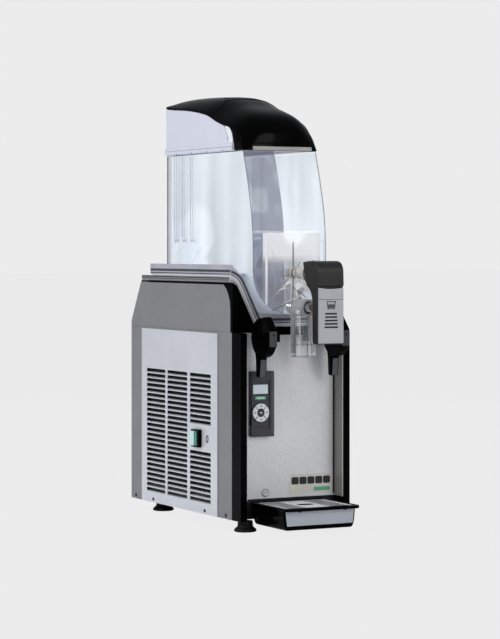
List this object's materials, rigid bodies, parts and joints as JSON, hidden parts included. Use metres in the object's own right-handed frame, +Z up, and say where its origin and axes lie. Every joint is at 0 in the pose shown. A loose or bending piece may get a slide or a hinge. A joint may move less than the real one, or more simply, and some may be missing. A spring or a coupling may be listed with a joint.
{
  "type": "slushie machine",
  "caption": "Counter-top frozen-drink machine with a clear bowl over a chilled drum, a scraping auger, a pull tap, a louvred cabinet and a drip tray.",
  "frame": {"origin": "on the counter under the middle of the cabinet, at the foot undersides", "axes": "+X to the viewer's right when facing the front, the front faces -Y, +Z up"},
  "size_m": [0.265, 0.7779, 0.8575],
  "materials": {
    "grey_paint": "satin grey paint",
    "gloss_black": "gloss black",
    "black_plastic": "matt black",
    "brown_black": "satin brown-black",
    "stainless": "brushed",
    "silver_plate": "satin silver grey",
    "clear": "clear polycarbonate",
    "lid_white": "satin pale lavender",
    "white_plastic": "satin white",
    "rubber": "matt black rubber",
    "pale_rubber": "pale grey silicone",
    "copper": "copper tube, stands in as brass",
    "aluminium": "plain",
    "brown_plastic": "satin brown",
    "green_switch": "translucent green"
  },
  "bodies": {
    "cabinet": {"base_pan": "black_plastic", "bowl_seal": "pale_rubber", "compressor": "gloss_black", "condenser": "aluminium", "control_housing": "black_plastic", "deck_pan": "stainless", "discharge_pipe": "copper", "display_window": "clear", "drive_belt": "rubber", "drive_cover": "white_plastic", "drive_motor": "black_plastic", "drum_end_plate": "aluminium", "evaporator_drum": "white_plastic", "fan_motor": "black_plastic", "fan_shroud": "black_plastic", "flange_gasket": "pale_rubber", "foot_front_left": "rubber", "foot_front_right": "rubber", "foot_rear_left": "rubber", "foot_rear_right": "rubber", "front_column_left": "gloss_black", "front_column_right": "gloss_black", "front_panel": "stainless", "latch_bracket": "black_plastic", "louvre_panel_left": "stainless", "louvre_panel_right": "stainless", "power_cord": "rubber", "rear_panel": "stainless", "side_cap_left": "grey_paint", "side_cap_right": "grey_paint", "side_shell_left": "grey_paint", "side_shell_right": "grey_paint", "switch_bezel": "gloss_black"},
    "bowl": {"bowl": "clear", "tap_body": "clear", "handle_post": "silver_plate"},
    "lid": {"lid_cover": "gloss_black", "lid_frame": "lid_white"},
    "auger": {"auger": "white_plastic", "drive_shaft": "stainless", "auger_nose": "brown_plastic", "drive_pulley": "aluminium"},
    "motor_rotor": {"motor_pulley": "aluminium"},
    "fan": {"fan": "aluminium"},
    "tap_handle": {"tap_handle": "brown_black", "handle_plate": "silver_plate"},
    "tap_piston": {"tap_piston": "white_plastic", "piston_ring": "rubber"},
    "latch_left": {"latch_left": "gloss_black"},
    "latch_right": {"latch_right": "gloss_black"},
    "switch_rocker": {"switch_rocker": "green_switch"},
    "key_up": {"key_up": "white_plastic"},
    "key_down": {"key_down": "white_plastic"},
    "key_left": {"key_left": "white_plastic"},
    "key_right": {"key_right": "white_plastic"},
    "key_ok": {"key_ok": "black_plastic"},
    "drip_tray": {"drip_tray": "gloss_black", "tray_plate": "silver_plate"},
    "tray_grid": {"tray_grid": "stainless"}
  },
  "joints": [
    {"name": "bowl_slide", "type": "slide", "parent": "cabinet", "child": "bowl", "axis": [0, -1, 0], "range_m": [0, 0.25]},
    {"name": "lid_lift", "type": "slide", "parent": "bowl", "child": "lid", "axis": [0, 0, 1], "range_m": [0, 0.1]},
    {"name": "auger_spin", "type": "hinge", "parent": "cabinet", "child": "auger", "pos_m": [0, -0.1, 0.5], "axis": [0, 1, 0], "continuous": true},
    {"name": "motor_spin", "type": "hinge", "parent": "cabinet", "child": "motor_rotor", "pos_m": [0, 0.177, 0.345], "axis": [0, 1, 0], "continuous": true},
    {"name": "fan_spin", "type": "hinge", "parent": "cabinet", "child": "fan", "pos_m": [-0.064, 0, 0.167], "axis": [1, 0, 0], "continuous": true},
    {"name": "tap_handle_pull", "type": "hinge", "parent": "bowl", "child": "tap_handle", "pos_m": [0, -0.286, 0.5], "axis": [-1, 0, 0], "range_deg": [0, 28]},
    {"name": "tap_piston_slide", "type": "slide", "parent": "bowl", "child": "tap_piston", "axis": [0, -1, 0], "range_m": [0, 0.033]},
    {"name": "latch_left_turn", "type": "hinge", "parent": "cabinet", "child": "latch_left", "pos_m": [-0.07975, -0.269, 0.376], "axis": [1, 0, 0], "range_deg": [0, 18]},
    {"name": "latch_right_turn", "type": "hinge", "parent": "cabinet", "child": "latch_right", "pos_m": [0.07975, -0.269, 0.376], "axis": [1, 0, 0], "range_deg": [0, 18]},
    {"name": "switch_rock", "type": "hinge", "parent": "cabinet", "child": "switch_rocker", "pos_m": [-0.124, -0.0675, 0.17], "axis": [0, 0, 1], "range_deg": [-7, 7]},
    {"name": "key_up_press", "type": "slide", "parent": "cabinet", "child": "key_up", "axis": [0, 1, 0], "range_m": [0, 0.0008]},
    {"name": "key_down_press", "type": "slide", "parent": "cabinet", "child": "key_down", "axis": [0, 1, 0], "range_m": [0, 0.0008]},
    {"name": "key_left_press", "type": "slide", "parent": "cabinet", "child": "key_left", "axis": [0, 1, 0], "range_m": [0, 0.0008]},
    {"name": "key_right_press", "type": "slide", "parent": "cabinet", "child": "key_right", "axis": [0, 1, 0], "range_m": [0, 0.0008]},
    {"name": "key_ok_press", "type": "slide", "parent": "cabinet", "child": "key_ok", "axis": [0, 1, 0], "range_m": [0, 0.0008]},
    {"name": "drip_tray_slide", "type": "slide", "parent": "cabinet", "child": "drip_tray", "axis": [0, -1, 0], "range_m": [0, 0.12]},
    {"name": "tray_grid_lift", "type": "slide", "parent": "drip_tray", "child": "tray_grid", "axis": [0, 0, 1], "range_m": [0, 0.06]}
  ],
  "couplings": [
    {"joint": "motor_spin", "follows": "auger_spin", "ratio": 3},
    {"joint": "tap_piston_slide", "follows": "tap_handle_pull", "m_per_rad": 0.0665}
  ]
}
